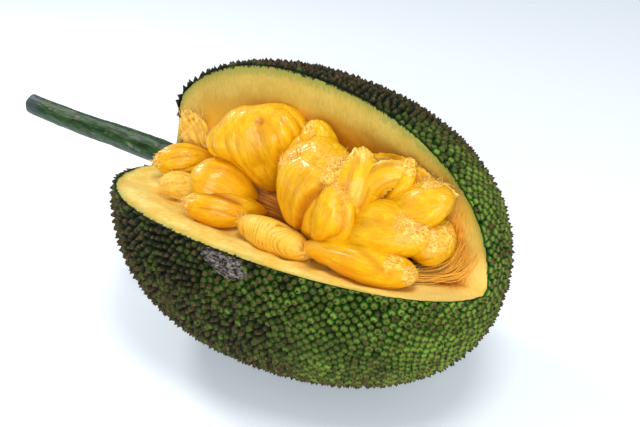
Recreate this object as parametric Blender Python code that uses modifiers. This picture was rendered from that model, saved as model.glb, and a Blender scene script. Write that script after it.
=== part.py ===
"""Jackfruit lying on its side, with a long wedge cut out of the top so that the bulbs inside show.

The fruit is a body of revolution with spiny green rind. Two flat cuts meet along its axis and take
a wedge out, and under the wedge a bowl holds the fibrous core, the yellow bulbs and the pale rags.
+X runs along the fruit from the stem to the round tip, +Z is up, and the fruit rests on a small
flat spot at z = 0. The origin is under the middle of the whole object, stem included.
"""

import math

import bmesh
import bpy
from mathutils import Matrix, Vector
from mathutils.bvhtree import BVHTree

# Driving dimensions, in metres and degrees. Angles round the fruit start at +Z and turn to -Y.
MM = 0.001
FRUIT_HALF_LENGTH = 0.1842  # to the tips of the spines
FRUIT_RADIUS = 0.1254
STEM_END_SQUARENESS = 2.03  # 2 is an ellipse, more is fuller at the end
TIP_END_SQUARENESS = 2.27
FRUIT_TAPER = -0.068  # the stem end is a little fatter
FRUIT_LEAN = 0.09  # towards the tip the fruit swells at the back, and towards the stem at the front
FRUIT_LEAN_ANGLE = -87
FRUIT_SKEW = 0.083  # the front of the fruit is further along than the back, by this part of its width
DIMPLE_DEPTH = 0.028  # the hollow that the stem grows from
DIMPLE_WIDTH = 0.026
DIMPLE_OUT = 0.030  # it lies on the back's side of the axis, so the front reaches up to the stem
DIMPLE_ANGLE = -10
AXIS_HEIGHT = 0.1240  # less than the radius, so the fruit stands on a flat spot
FRUIT_CENTRE_X = 0.0937  # from the middle of the whole object to the middle of the fruit
FRUIT_CENTRE_Y = 0.0007

BACK_CUT_ANGLE = -4.8  # the cut that stands up behind the bulbs
FRONT_CUT_ANGLE = 76.8  # the cut that slopes down in front of them
BOWL_HALF_LENGTH = 0.235
BOWL_RADIUS = 0.0590
BOWL_CENTRE_X = 0.005
BOWL_CENTRE_OUT = 0.070  # from the axis towards the middle of the wedge

CORE_ENDS = (-0.138, 0.128)
CORE_RADIUS = 0.021
CORE_SWELL = -0.22  # the stem end of the core is thicker
STEM_INNER_END = -0.1395
STEM_PATH = ((-0.175, 0.0112), (-0.240, 0.0097), (-0.300, 0.0076), (-0.345, 0.0072), (-0.3717, 0.0080))
STEM_RADII = (0.0118, 0.0108, 0.0103, 0.0101, 0.0099)
STEM_FOOT = (0.0080, 0.0135)  # height over the axis and radius, where it leaves the core

GAP = 0.0003  # between pieces that touch
FRUIT_STEPS = 64
PROFILE_POINTS = 30

OPENING_ANGLE = math.radians((BACK_CUT_ANGLE + FRONT_CUT_ANGLE) / 2)
OPENING = Vector((0, -math.sin(OPENING_ANGLE), math.cos(OPENING_ANGLE)))

# Each bulb runs from its base near the core to its crown: (x, angle, distance from the axis) of
# both, then its width, thickness, bow towards the opening and fullness, in mm and degrees.
BULBS = {
    "bulb_back": ((-22, 16, 22), (-49, 8, 91), 86, 46, 0, 1.35),
    "bulb_behind": ((22, 0, 24), (21, 3, 94), 36, 28, 0, 1.5),
    "bulb_centre": ((28, 72, 24), (53, 13, 86), 106, 56, 0, 1.08),
    "bulb_by_stem": ((-100, 5, 27), (-137, 58, 46), 27, 24, 0, 1.2),
    "bulb_left_upper": ((-32, 50, 24), (-75, 53, 64), 44, 30, 0, 1.35),
    "bulb_left_lower": ((-18, 68, 24), (-69, 76, 68), 35, 30, 0, 1.3),
    "bulb_right_large": ((58, 46, 24), (145, 29, 49), 46, 38, 9, 1.2),
    "bulb_right_lower": ((43, 77, 47), (149, 64, 48), 31, 28, 0, 1.25),
    "bulb_right_back": ((80, 8, 24), (152, 8, 71), 38, 30, 5, 1.35),
    "bulb_far_right": ((112, 30, 26), (155, 14, 42), 38, 32, 0, 1.35),
    "bulb_flat": ((72, 4, 26), (116, 4, 86), 34, 16, 0, 1.6),
    "rag_bundle": ((-22, 81, 50), (54, 81, 49), 29, 32, 0, 1.1),
    "rag_left": ((-84, 66, 25), (-112, 73, 58), 26, 22, 0, 1.3),
    "rag_torn": ((-118, -2, 25), (-136, 1, 60), 26, 14, 0, 1.35),
}
BULB_SIDES = 16
BULB_RINGS = 11

# Strands of rag near the tip. Each reaches from the front cut to the back cut, measured from the corner.
TIP_RAG_STARTS = (0.150, 0.138)
TIP_RAG_REACH = ((-0.052, 0.034), (-0.050, -0.006))
TIP_RAG_RADIUS = 0.0032
TIP_RAG_SLOPE = 0.55
TIP_RAG_CURVE = -3.5
TIP_RAG_CORNER = 0.006

RIND_GREEN = (0.045, 0.085, 0.018)
STEM_GREEN = (0.030, 0.070, 0.022)
CORE_BROWN = (0.340, 0.160, 0.040)
BULB_YELLOW = (0.860, 0.440, 0.030)
RAG_CREAM = (0.850, 0.600, 0.220)


def clear_scene():
    for obj in list(bpy.data.objects):
        bpy.data.objects.remove(obj)


def new_collection(name):
    collection = bpy.data.collections.new(name)
    bpy.context.scene.collection.children.link(collection)
    return collection


def material(name, colour, roughness):
    made = bpy.data.materials.new(name)
    made.use_nodes = True
    shader = made.node_tree.nodes["Principled BSDF"]
    shader.inputs["Base Color"].default_value = (*colour, 1)
    shader.inputs["Roughness"].default_value = roughness
    shader.inputs["Metallic"].default_value = 0
    return made


def add_object(name, data, collection, finish=None):
    """An object hung on the fruit's centre, so that its mesh is measured from there."""
    obj = bpy.data.objects.new(name, data)
    collection.objects.link(obj)
    obj.parent = fruit_centre
    if finish:
        data.materials.append(finish)
    else:
        obj.hide_render = True
        obj.display_type = "WIRE"
    return obj


def add_bmesh(name, shape, collection, finish=None):
    mesh = bpy.data.meshes.new(name)
    bmesh.ops.recalc_face_normals(shape, faces=shape.faces)
    shape.to_mesh(mesh)
    shape.free()
    return add_object(name, mesh, collection, finish)


def boolean(obj, other, operation):
    modifier = obj.modifiers.new(other.name, "BOOLEAN")
    modifier.operation = operation
    modifier.object = other
    modifier.solver = "EXACT"


def around_axis(x, angle, distance):
    """The point at this place along the fruit, this angle round it and this far from its axis."""
    turn = math.radians(angle)
    return Vector((x, -distance * math.sin(turn), distance * math.cos(turn)))


def turned(name, profile, steps, collection, finish=None):
    """A solid of revolution about the fruit's axis. The profile is (x, radius) from tip to stem."""
    mesh = bpy.data.meshes.new(name)
    points = [(radius, 0, x) for x, radius in profile]
    edges = [(i, i + 1) for i in range(len(points) - 1)]
    mesh.from_pydata(points, edges, [])
    obj = add_object(name, mesh, collection, finish)
    obj.rotation_euler = (0, math.radians(90), 0)
    screw = obj.modifiers.new("turn", "SCREW")
    screw.steps = screw.render_steps = steps
    screw.use_merge_vertices = True
    screw.merge_threshold = 0.00001
    screw.use_smooth_shade = True
    return obj


def fruit_profile():
    """From the round tip to the stem end."""
    points = []
    for i in range(PROFILE_POINTS + 1):
        turn = math.pi * (1 - i / PROFILE_POINTS)
        squareness = STEM_END_SQUARENESS if turn < math.pi / 2 else TIP_END_SQUARENESS
        along = abs(math.cos(turn)) ** (2 / squareness)
        x = -math.copysign(along, math.cos(turn)) * FRUIT_HALF_LENGTH
        radius = FRUIT_RADIUS * math.sin(turn) ** (2 / squareness) if 0 < i < PROFILE_POINTS else 0
        radius *= 1 + FRUIT_TAPER * x / FRUIT_HALF_LENGTH
        points.append((x, radius))
    return points


def fruit_body(finish):
    """The whole fruit before any cut: turned, then made a little uneven, as a grown fruit is."""
    body = turned("turned_fruit", fruit_profile(), FRUIT_STEPS, cutters)
    bpy.context.view_layer.update()
    evaluated = body.evaluated_get(bpy.context.evaluated_depsgraph_get())
    shape = bmesh.new()
    shape.from_mesh(evaluated.data)
    shape.transform(body.matrix_basis)
    bpy.data.objects.remove(body)
    dimple = around_axis(0, DIMPLE_ANGLE, DIMPLE_OUT)
    for vert in shape.verts:
        x, y, z = vert.co
        if x < 0:
            away = (Vector((0, y, z)) - dimple).length
            x += DIMPLE_DEPTH * math.exp(-((away / DIMPLE_WIDTH) ** 2))
        side = math.cos(math.atan2(-y, z) - math.radians(FRUIT_LEAN_ANGLE))
        swell = 1 + FRUIT_LEAN * x / FRUIT_HALF_LENGTH * side
        vert.co = (x - FRUIT_SKEW * y, y * swell, z * swell)
    rind = add_bmesh("rind", shape, parts, finish)
    rind.data.shade_smooth()
    return rind


def core_profile(clearance):
    """A spindle with blunt ends, thicker towards the stem."""
    first, last = CORE_ENDS[0] - clearance, CORE_ENDS[1] + clearance
    points = []
    for i in range(13):
        part = i / 12
        x = last + (first - last) * part
        swell = 1 + CORE_SWELL * (x / CORE_ENDS[1])
        radius = (CORE_RADIUS * swell + clearance) * max(math.sin(math.pi * part), 0) ** 0.35
        points.append((x, radius if 0 < i < 12 else 0))
    return points


def trim(shape, point, normal):
    """Cuts off what lies beyond a plane and closes the cut."""
    everything = shape.verts[:] + shape.edges[:] + shape.faces[:]
    cut = bmesh.ops.bisect_plane(
        shape, geom=everything, dist=1e-7, plane_co=point, plane_no=normal, clear_outer=True
    )
    rim = [part for part in cut["geom_cut"] if isinstance(part, bmesh.types.BMEdge)]
    if rim:
        bmesh.ops.edgeloop_fill(shape, edges=rim)


def hollow(name, clearance):
    """The wedge and the bowl under it, smaller by the clearance on every side."""
    wedge = bmesh.new()
    bmesh.ops.create_cube(wedge, size=0.44)
    for angle, side in ((BACK_CUT_ANGLE, -90), (FRONT_CUT_ANGLE, 90)):
        outward = around_axis(0, angle + side, 1)
        trim(wedge, outward * -clearance, outward)
    wedge_object = add_bmesh(name, wedge, cutters)

    bowl = bmesh.new()
    bmesh.ops.create_uvsphere(bowl, u_segments=40, v_segments=24, radius=1)
    sizes = Vector((BOWL_HALF_LENGTH, BOWL_RADIUS, BOWL_RADIUS)) - Vector((clearance,) * 3)
    along_x = Matrix.Rotation(math.radians(90), 4, "Y")
    bowl.transform(Matrix.Diagonal((*sizes, 1)) @ along_x)
    bowl.transform(Matrix.Translation(OPENING * BOWL_CENTRE_OUT + Vector((BOWL_CENTRE_X, 0, 0))))
    bowl_object = add_bmesh(name + "_bowl", bowl, cutters)
    boolean(wedge_object, bowl_object, "UNION")
    return wedge_object


def tube(name, points, radii, collection, finish=None):
    """A round tube with closed ends along the points, as a mesh."""
    curve = bpy.data.curves.new(name, "CURVE")
    curve.dimensions = "3D"
    curve.resolution_u = 3
    curve.bevel_depth = 1
    curve.bevel_resolution = 3
    curve.use_fill_caps = True
    spline = curve.splines.new("BEZIER")
    spline.bezier_points.add(len(points) - 1)
    for knot, point, radius in zip(spline.bezier_points, points, radii):
        knot.co = point
        knot.radius = radius
        knot.handle_left_type = knot.handle_right_type = "AUTO"
    line = bpy.data.objects.new(name, curve)
    collection.objects.link(line)
    bpy.context.view_layer.update()
    evaluated = line.evaluated_get(bpy.context.evaluated_depsgraph_get())
    mesh = bpy.data.meshes.new_from_object(evaluated)
    bpy.data.objects.remove(line)
    shape = bmesh.new()
    shape.from_mesh(mesh)
    bmesh.ops.remove_doubles(shape, verts=shape.verts, dist=0.00001)
    bpy.data.meshes.remove(mesh)
    return add_bmesh(name, shape, collection, finish)


def stem_tube(name, clearance, collection, finish=None):
    height, radius = STEM_FOOT
    points = [(STEM_INNER_END + clearance, 0, height)]
    points += [(x, 0, z) for x, z in STEM_PATH]
    radii = [size + clearance for size in (radius, *STEM_RADII)]
    return tube(name, points, radii, collection, finish)


class Bulb:
    """A drop-shaped bulb: its centre line, and how wide and thick it is along that line."""

    def __init__(self, base, crown, width, thickness, bow, fullness):
        self.base = around_axis(base[0] * MM, base[1], base[2] * MM)
        self.crown = around_axis(crown[0] * MM, crown[1], crown[2] * MM)
        self.half_sizes = Vector((width, thickness)) * MM / 2
        self.bow = bow * MM
        self.fullness = fullness
        self.along = (self.crown - self.base).normalized()
        self.side = self.along.cross(OPENING).normalized()
        self.front = self.side.cross(self.along)
        self.shape = self.cage()

    def middle(self, part):
        bend = self.front * self.bow * math.sin(math.pi * part)
        return self.base.lerp(self.crown, part) + bend

    def swell(self, part):
        return max(math.sin(math.pi * min(part, 1) ** self.fullness), 0) ** 0.6

    def cage(self):
        shape = bmesh.new()
        bmesh.ops.create_uvsphere(shape, u_segments=BULB_SIDES, v_segments=BULB_RINGS, radius=1)
        for vert in shape.verts:
            part = (vert.co.z + 1) / 2
            across = Vector((vert.co.x, vert.co.y))
            if across.length > 1e-5:
                across = across.normalized() * self.swell(part)
            vert.co = (
                self.middle(part)
                + self.side * across.x * self.half_sizes.x
                + self.front * across.y * self.half_sizes.y
            )
        bmesh.ops.recalc_face_normals(shape, faces=shape.faces)
        return shape


def press_apart(one, other):
    """Flattens two bulbs that grew into each other, where they touch."""
    if not BVHTree.FromBMesh(one.shape).overlap(BVHTree.FromBMesh(other.shape)):
        return
    deepest = None
    for i in range(1, 20):
        for j in range(1, 20):
            a, b = one.middle(i / 20), other.middle(j / 20)
            reach_a = one.swell(i / 20) * sum(one.half_sizes) / 2
            reach_b = other.swell(j / 20) * sum(other.half_sizes) / 2
            room = (b - a).length - reach_a - reach_b
            if deepest is None or room < deepest[0]:
                deepest = (room, a, b, reach_a / (reach_a + reach_b))
    _, a, b, share = deepest
    normal = (b - a).normalized()
    between = a.lerp(b, share)
    trim(one.shape, between - normal * GAP / 2, normal)
    trim(other.shape, between + normal * GAP / 2, -normal)


def make_rind():
    finish = material("rind_green", RIND_GREEN, 0.6)
    rind = fruit_body(finish)
    boolean(rind, hollow("cut_out", 0), "DIFFERENCE")
    boolean(rind, turned("core_bed", core_profile(GAP), 24, cutters), "DIFFERENCE")
    boolean(rind, stem_tube("stem_socket", GAP, cutters), "DIFFERENCE")
    ground = bmesh.new()
    bmesh.ops.create_cube(ground, size=0.4)
    bmesh.ops.translate(ground, verts=ground.verts, vec=(0, 0, -0.2 - AXIS_HEIGHT))
    boolean(rind, add_bmesh("ground", ground, cutters), "DIFFERENCE")


def make_core_and_stem():
    turned("core", core_profile(0), 24, parts, material("core_brown", CORE_BROWN, 0.7))
    stem_tube("stem", 0, parts, material("stem_green", STEM_GREEN, 0.45))


def make_bulbs(room):
    yellow = material("bulb_yellow", BULB_YELLOW, 0.35)
    cream = material("rag_cream", RAG_CREAM, 0.6)
    bulbs = {name: Bulb(*sizes) for name, sizes in BULBS.items()}
    names = list(bulbs)
    for i, name in enumerate(names):
        for later in names[i + 1 :]:
            press_apart(bulbs[name], bulbs[later])
    for name, bulb in bulbs.items():
        finish = cream if name.startswith("rag") else yellow
        obj = add_bmesh(name, bulb.shape, parts, finish)
        obj.data.shade_smooth()
        boolean(obj, room, "INTERSECT")


def tip_rag_tube(name, number, clearance, collection, finish=None):
    """A strand of rag that lies on both cuts near the tip and crosses the corner between them."""
    half_wedge = math.radians((FRONT_CUT_ANGLE - BACK_CUT_ANGLE) / 2)
    across = OPENING.cross(Vector((1, 0, 0)))
    height = (TIP_RAG_RADIUS + GAP) / math.sin(half_wedge)
    first, last = TIP_RAG_REACH[number]
    points = []
    for i in range(9):
        s = first + (last - first) * i / 8
        x = TIP_RAG_STARTS[number] + TIP_RAG_SLOPE * s + TIP_RAG_CURVE * s * s
        out = math.hypot(s * math.cos(half_wedge), TIP_RAG_CORNER) + height
        points.append(Vector((x, 0, 0)) + OPENING * out + across * s * math.sin(half_wedge))
    return tube(name, points, [TIP_RAG_RADIUS + clearance] * len(points), collection, finish)


def make_tip_rags():
    cream = material("tip_rag_cream", RAG_CREAM, 0.6)
    for number in range(len(TIP_RAG_STARTS)):
        tip_rag_tube(f"tip_rag_{number + 1}", number, 0, parts, cream)


clear_scene()
parts = new_collection("jackfruit")
cutters = new_collection("cutters")
cutters.hide_render = True
fruit_centre = bpy.data.objects.new("fruit_centre", None)
parts.objects.link(fruit_centre)
fruit_centre.location = (FRUIT_CENTRE_X, FRUIT_CENTRE_Y, AXIS_HEIGHT)

make_rind()
make_core_and_stem()
bulb_room = hollow("bulb_room", GAP)
boolean(bulb_room, turned("core_room", core_profile(GAP), 24, cutters), "DIFFERENCE")
boolean(bulb_room, stem_tube("stem_room", GAP, cutters), "DIFFERENCE")
for number in range(len(TIP_RAG_STARTS)):
    boolean(bulb_room, tip_rag_tube(f"tip_rag_room_{number + 1}", number, GAP, cutters), "DIFFERENCE")
make_bulbs(bulb_room)
make_tip_rags()
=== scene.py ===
# %% [markdown]
# # A ripe jackfruit with a wedge cut out of it
#
# A jackfruit is a very large tropical fruit. Its green skin is covered with blunt spines, and under
# the skin lies a thick layer of pale flesh. Inside that, glossy yellow bulbs grow from a brown fibrous
# core, packed among pale strands called rags. This fruit lies on its side, and two cuts that meet along
# its middle have taken out a long wedge, so that everything inside shows.
#
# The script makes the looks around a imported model, which fixes where every piece is and how big it is.
# Nothing here moves a piece of that model. Each one is replaced by a finer mesh of the same size, in
# the same place. All lengths are metres, +X runs from the stem to the round tip and +Z is up.

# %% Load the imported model
import itertools
import math

import bpy
import numpy as np
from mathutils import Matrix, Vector
from mathutils.kdtree import KDTree


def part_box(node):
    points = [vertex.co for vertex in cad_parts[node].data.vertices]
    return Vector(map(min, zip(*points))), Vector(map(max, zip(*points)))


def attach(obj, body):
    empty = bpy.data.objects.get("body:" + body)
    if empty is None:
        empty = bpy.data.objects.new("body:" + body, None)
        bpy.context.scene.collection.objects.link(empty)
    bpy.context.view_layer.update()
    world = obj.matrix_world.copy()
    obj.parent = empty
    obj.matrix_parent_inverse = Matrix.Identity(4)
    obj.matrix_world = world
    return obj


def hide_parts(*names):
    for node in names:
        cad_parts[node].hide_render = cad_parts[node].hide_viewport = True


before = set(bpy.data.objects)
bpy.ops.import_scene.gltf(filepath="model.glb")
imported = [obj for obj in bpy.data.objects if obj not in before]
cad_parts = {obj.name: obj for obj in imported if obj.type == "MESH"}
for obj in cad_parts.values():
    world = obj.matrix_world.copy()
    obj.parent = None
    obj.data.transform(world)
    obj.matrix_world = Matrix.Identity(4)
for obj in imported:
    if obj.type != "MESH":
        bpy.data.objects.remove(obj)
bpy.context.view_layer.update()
print("packed nodes:", sorted(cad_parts))

# %% [markdown]
# ## Places on the fruit
#
# Most things in a fruit are placed round its axis: so far along it, at such an angle round it and so
# far out from it. The same three numbers are used here for every bulb and strand, so a helper turns
# them into a point. Angles start at straight up and turn towards the side where the wedge is cut lowest.

# %% Points round the axis of the fruit
MM = 0.001
FRUIT_CENTRE = np.array((0.0937, 0.0007, 0.1240))
BACK_CUT = math.radians(-4.8)
FRONT_CUT = math.radians(76.8)
OPENING_ANGLE = (BACK_CUT + FRONT_CUT) / 2
OPENING = np.array((0, -math.sin(OPENING_ANGLE), math.cos(OPENING_ANGLE)))


def around_axis(x, angle, distance):
    """Points in metres, from places along the fruit, angles in radians and distances from its axis."""
    x, angle, distance = np.broadcast_arrays(x, angle, distance)
    return FRUIT_CENTRE + np.stack([x, -distance * np.sin(angle), distance * np.cos(angle)], -1)


def spot(x, angle, distance):
    """The same for a place given in millimetres and degrees."""
    return around_axis(x * MM, math.radians(angle), distance * MM)


def full_turn(count):
    """So many angles evenly round a full turn."""
    return np.arange(count) / count * 2 * math.pi


print("the wedge opens", round(math.degrees(FRONT_CUT - BACK_CUT), 1), "degrees")

# %% [markdown]
# ## Camera, floor and light
#
# The camera looks down on the fruit from in front and to its right, with a lens that flattens it a
# little. The floor is a plain pale sheet that glows faintly, so it stays nearly white under the fruit.
# A soft light from above fills the wedge, a wider one low in front lifts the rind, and a small one on
# the stem's side puts the highlights on the wet bulbs. A faint blue sky colours the shadows.

# %% Camera
def new_object(name, data):
    made = bpy.data.objects.new(name, data)
    bpy.context.scene.collection.objects.link(made)
    return made


LENS = 61.875
CAMERA_FROM_FRUIT = (0.54675, -0.58832, 0.40107)
AIM_FROM_FRUIT = (0.00907, 0.01128, 0.00476)
camera_data = bpy.data.cameras.new("camera")
camera_data.lens = LENS
camera = new_object("camera", camera_data)
camera.location = Vector(FRUIT_CENTRE) + Vector(CAMERA_FROM_FRUIT)
camera_aim = Vector(FRUIT_CENTRE) + Vector(AIM_FROM_FRUIT)
camera.rotation_euler = (camera_aim - camera.location).to_track_quat("-Z", "Y").to_euler()
bpy.context.scene.camera = camera
bpy.context.scene.view_settings.view_transform = "Standard"
print("camera is", round((camera_aim - camera.location).length, 3), "m from the fruit")


# %% Materials, a node at a time
def srgb(red, green, blue):
    """A colour given as 0 to 255 on a screen, as the linear values that shaders use."""
    parts = [channel / 255 for channel in (red, green, blue)]
    return (*[p / 12.92 if p <= 0.04045 else ((p + 0.055) / 1.055) ** 2.4 for p in parts], 1)


class Nodes:
    """Short calls that add nodes to a tree and join them."""

    def __init__(self, tree):
        self.tree = tree

    def plug(self, socket, value):
        """Gives a socket a constant or another node's output."""
        if isinstance(value, bpy.types.NodeSocket):
            self.tree.links.new(value, socket)
        else:
            socket.default_value = value

    def add(self, kind, inputs, **settings):
        node = self.tree.nodes.new(kind)
        for name, value in settings.items():
            setattr(node, name, value)
        for name, value in inputs.items():
            self.plug(node.inputs[name], value)
        return node

    def times(self, first, second):
        return self.add("ShaderNodeMath", {0: first, 1: second}, operation="MULTIPLY").outputs["Value"]

    def plus(self, first, second, share=1):
        """The first value and this share of the second."""
        second = second if share == 1 else self.times(second, share)
        return self.add("ShaderNodeMath", {0: first, 1: second}, operation="ADD").outputs["Value"]


class Material(Nodes):
    """A Principled material and short calls for the nodes that paint it."""

    def __init__(self, name, roughness, shine=0.5):
        self.made = bpy.data.materials.new(name)
        self.made.use_nodes = True
        super().__init__(self.made.node_tree)
        self.set("Roughness", roughness)
        self.set("Specular IOR Level", shine)

    def set(self, socket, value):
        self.plug(self.tree.nodes["Principled BSDF"].inputs[socket], value)

    def paint(self, factor, first, second):
        """Colours the whole piece from the first colour to the second as the factor goes from 0 to 1."""
        self.set("Base Color", self.mix(factor, first, second))

    def glow_inside(self, weight, radius, size):
        """Lets light soak into the flesh; the radius is for red, green and blue, in parts of the size."""
        self.set("Subsurface Weight", weight)
        self.set("Subsurface Radius", radius)
        self.set("Subsurface Scale", size)

    def attribute(self, name, output="Fac"):
        return self.add("ShaderNodeAttribute", {}, attribute_name=name).outputs[output]

    def stretched(self, where, stretch):
        return self.add("ShaderNodeMapping", {"Vector": where, "Scale": stretch}).outputs["Vector"]

    def place(self, stretch=(1, 1, 1)):
        """The point on the piece, in metres, with each direction stretched."""
        return self.stretched(self.add("ShaderNodeTexCoord", {}).outputs["Object"], stretch)

    def grain(self, stretch):
        """The point in the piece's own flat map: along the piece and round it, in metres."""
        return self.stretched(self.add("ShaderNodeUVMap", {}, uv_map="grain").outputs["UV"], stretch)

    def lengthwise(self, stretch):
        """The point in a bulb's own frame: along it, across it and towards its front, in metres."""
        return self.stretched(self.attribute("lengthwise", "Vector"), stretch)

    def noise(self, where, size, detail=2, roughness=0.5):
        """Smooth random values about 0.5 that change over `size` metres."""
        inputs = {"Vector": where, "Scale": 1 / size, "Detail": detail, "Roughness": roughness}
        return self.add("ShaderNodeTexNoise", inputs).outputs["Fac"]

    def between(self, value, low, high, to_low=0.0, to_high=1.0):
        """The value's place between low and high, held to the two ends, as to_low to to_high."""
        inputs = {"Value": value, "From Min": low, "From Max": high, "To Min": to_low, "To Max": to_high}
        return self.add("ShaderNodeMapRange", inputs, interpolation_type="SMOOTHSTEP").outputs["Result"]

    def mix(self, factor, first, second):
        return self.add("ShaderNodeMix", {0: factor, 6: first, 7: second}, data_type="RGBA").outputs[2]

    def bump(self, height, distance, strength=1.0):
        inputs = {"Height": height, "Distance": distance, "Strength": strength}
        self.set("Normal", self.add("ShaderNodeBump", inputs).outputs["Normal"])


# %% Floor
FLOOR_HALF = 4.0
FLOOR_GLOW = 0.27
floor_white = Material("floor white", roughness=0.9)
floor_white.set("Base Color", srgb(246, 248, 251))
floor_white.set("Emission Color", (0.72, 0.86, 1.0, 1))
floor_white.set("Emission Strength", FLOOR_GLOW)
floor_mesh = bpy.data.meshes.new("floor")
floor_corners = [(x * FLOOR_HALF, y * FLOOR_HALF, 0) for x, y in ((-1, -1), (1, -1), (1, 1), (-1, 1))]
floor_mesh.from_pydata(floor_corners, [], [(0, 1, 2, 3)])
floor = new_object("floor", floor_mesh)
floor_mesh.materials.append(floor_white.made)


# %% Lights
def soft_light(name, place, size, watts, colour):
    data = bpy.data.lights.new(name, "AREA")
    data.shape = "DISK"
    data.size = size
    data.energy = watts
    data.color = colour
    light = new_object(name, data)
    light.location = Vector(FRUIT_CENTRE) + Vector(place)
    light.rotation_euler = (-Vector(place)).to_track_quat("-Z", "Y").to_euler()


soft_light("window", (0.50, -0.30, 1.45), 0.6, 10.5, (1.0, 0.98, 0.94))
soft_light("from the front", (0.85, -1.12, 0.45), 0.9, 11, (1.0, 0.99, 0.97))
soft_light("glint", (-1.10, 0.00, 0.80), 0.35, 6.5, (1.0, 1.0, 1.0))
sky = bpy.data.worlds.new("sky")
bpy.context.scene.world = sky
sky.use_nodes = True
background = sky.node_tree.nodes["Background"]
background.inputs["Color"].default_value = (0.86, 0.93, 1.0, 1)
background.inputs["Strength"].default_value = 0.44

# %% [markdown]
# ## Meshes from rings
#
# Nearly every piece of a fruit is a closed skin round a line: the fruit itself, a bulb, the core, the
# stem, a strand. So one helper makes them all. It takes rings of points, closes each end on a single
# point and turns the faces outwards. The rings also give every piece a flat map, called "grain", whose
# first direction runs along the piece and whose second runs round it, so that fibres can follow it.


# %% A closed skin from rings of points
def smooth_step(value, low, high):
    part = np.clip((np.asarray(value, float) - low) / (high - low), 0, 1)
    return part * part * (3 - 2 * part)


LUMPS_REPEAT = 32  # so many lumps each way, and then the same ones again
FAR_FROM_ZERO = 500.5  # keeps every cell's number above zero


def lumps(points, size, seed):
    """Smooth random values from -1 to 1 that change over about this size, one number or one a direction."""
    table = np.random.default_rng(seed).uniform(-1, 1, (LUMPS_REPEAT,) * 3)
    scaled = np.asarray(points, float) / size + FAR_FROM_ZERO
    cell = np.floor(scaled).astype(int)
    part = scaled - cell
    part = part * part * (3 - 2 * part)
    total = np.zeros(scaled.shape[:-1])
    for corner in itertools.product((0, 1), repeat=3):
        index = (cell + corner) % LUMPS_REPEAT
        weight = np.prod(np.where(corner, part, 1 - part), axis=-1)
        total += weight * table[index[..., 0], index[..., 1], index[..., 2]]
    return total


def crowded_ends(count):
    """So many parts from 0 to 1 that stand closer together towards both ends."""
    return (1 - np.cos(np.linspace(0, math.pi, count + 2)[1:-1])) / 2


def with_ends(rings):
    """Values given ring by ring as one list, with the mean of the outer rings for the two end points."""
    rings = np.asarray(rings, float)
    return np.concatenate([rings[:1].mean(1), rings.reshape(-1, *rings.shape[2:]), rings[-1:].mean(1)])


def carry(mesh, values):
    """Gives each point of a mesh values by name, one number or one direction each."""
    for name, data in values.items():
        data = np.asarray(data, np.float32)
        kind, field = ("FLOAT_VECTOR", "vector") if data.ndim == 2 else ("FLOAT", "value")
        mesh.attributes.new(name, kind, "POINT").data.foreach_set(field, data.ravel())


def ring_faces(rings, sides):
    """Faces of a skin whose first vertex is one end, then the rings in order, then the other end."""
    index = 1 + np.arange(rings * sides).reshape(rings, sides)
    after = np.roll(index, -1, axis=1)
    quads = np.stack([index[:-1], after[:-1], after[1:], index[1:]], -1).reshape(-1, 4)
    last = rings * sides + 1
    first_fan = [(0, b, a) for a, b in zip(index[0].tolist(), after[0].tolist())]
    last_fan = [(last, a, b) for a, b in zip(index[-1].tolist(), after[-1].tolist())]
    return quads.tolist() + first_fan + last_fan


def closed_skin(name, rings, material, **values):
    """A mesh object from an array of rings, closed at both ends, with values for each of its points."""
    count, sides = rings.shape[:2]
    points = with_ends(rings)
    faces = ring_faces(count, sides)
    corners = points[np.array(faces[: (count - 1) * sides])[:, :3]] - points.mean(0)
    if np.linalg.det(corners).sum() < 0:
        faces = [face[::-1] for face in faces]
    mesh = bpy.data.meshes.new(name)
    mesh.from_pydata(points.tolist(), [], faces)
    mesh.materials.append(material.made)
    mesh.shade_smooth()
    for key, data in values.items():
        carry(mesh, {key: with_ends(np.broadcast_to(data, (count, sides, *np.shape(data)[2:])))})
    add_grain(mesh, rings)
    return new_object(name, mesh)


def add_grain(mesh, rings):
    """The flat map of a skin: metres along it, and metres round its widest ring."""
    count, sides = rings.shape[:2]
    along = np.concatenate([[0], np.cumsum(np.linalg.norm(np.diff(rings, axis=0), axis=-1).mean(1))])
    girth = np.linalg.norm(np.roll(rings, -1, axis=1) - rings, axis=-1).sum(1).max()
    loops = np.empty(len(mesh.loops), np.int32)
    mesh.loops.foreach_get("vertex_index", loops)
    ring, side = np.divmod(loops - 1, sides)
    ring = np.clip(ring, 0, count - 1)
    first_loop = np.empty(len(mesh.polygons), np.int32)
    mesh.polygons.foreach_get("loop_start", first_loop)
    corners = np.diff(np.append(first_loop, len(loops)))
    widest = np.repeat(np.maximum.reduceat(side, first_loop), corners)
    side = np.where((side == 0) & (widest == sides - 1), sides, side)
    round_it = side / sides * girth
    flat_map = np.stack([along[ring], round_it], -1).astype(np.float32)
    mesh.uv_layers.new(name="grain").data.foreach_set("uv", flat_map.ravel())


def points_of(mesh):
    """The places of a mesh's points, and the directions its skin faces there."""
    points = np.empty(len(mesh.vertices) * 3, np.float32)
    normals = np.empty_like(points)
    mesh.vertices.foreach_get("co", points)
    mesh.vertex_normals.foreach_get("vector", normals)
    return points.reshape(-1, 3), normals.reshape(-1, 3)


def raise_skin(piece, height):
    """Moves each point of a closed skin along its normal by this height in metres, given ring by ring."""
    points, normals = points_of(piece.data)
    moved = points + normals * with_ends(height)[:, None]
    piece.data.vertices.foreach_set("co", moved.ravel().astype(np.float32))
    piece.data.update()


def belongs(piece):
    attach(piece, "root")


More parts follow.
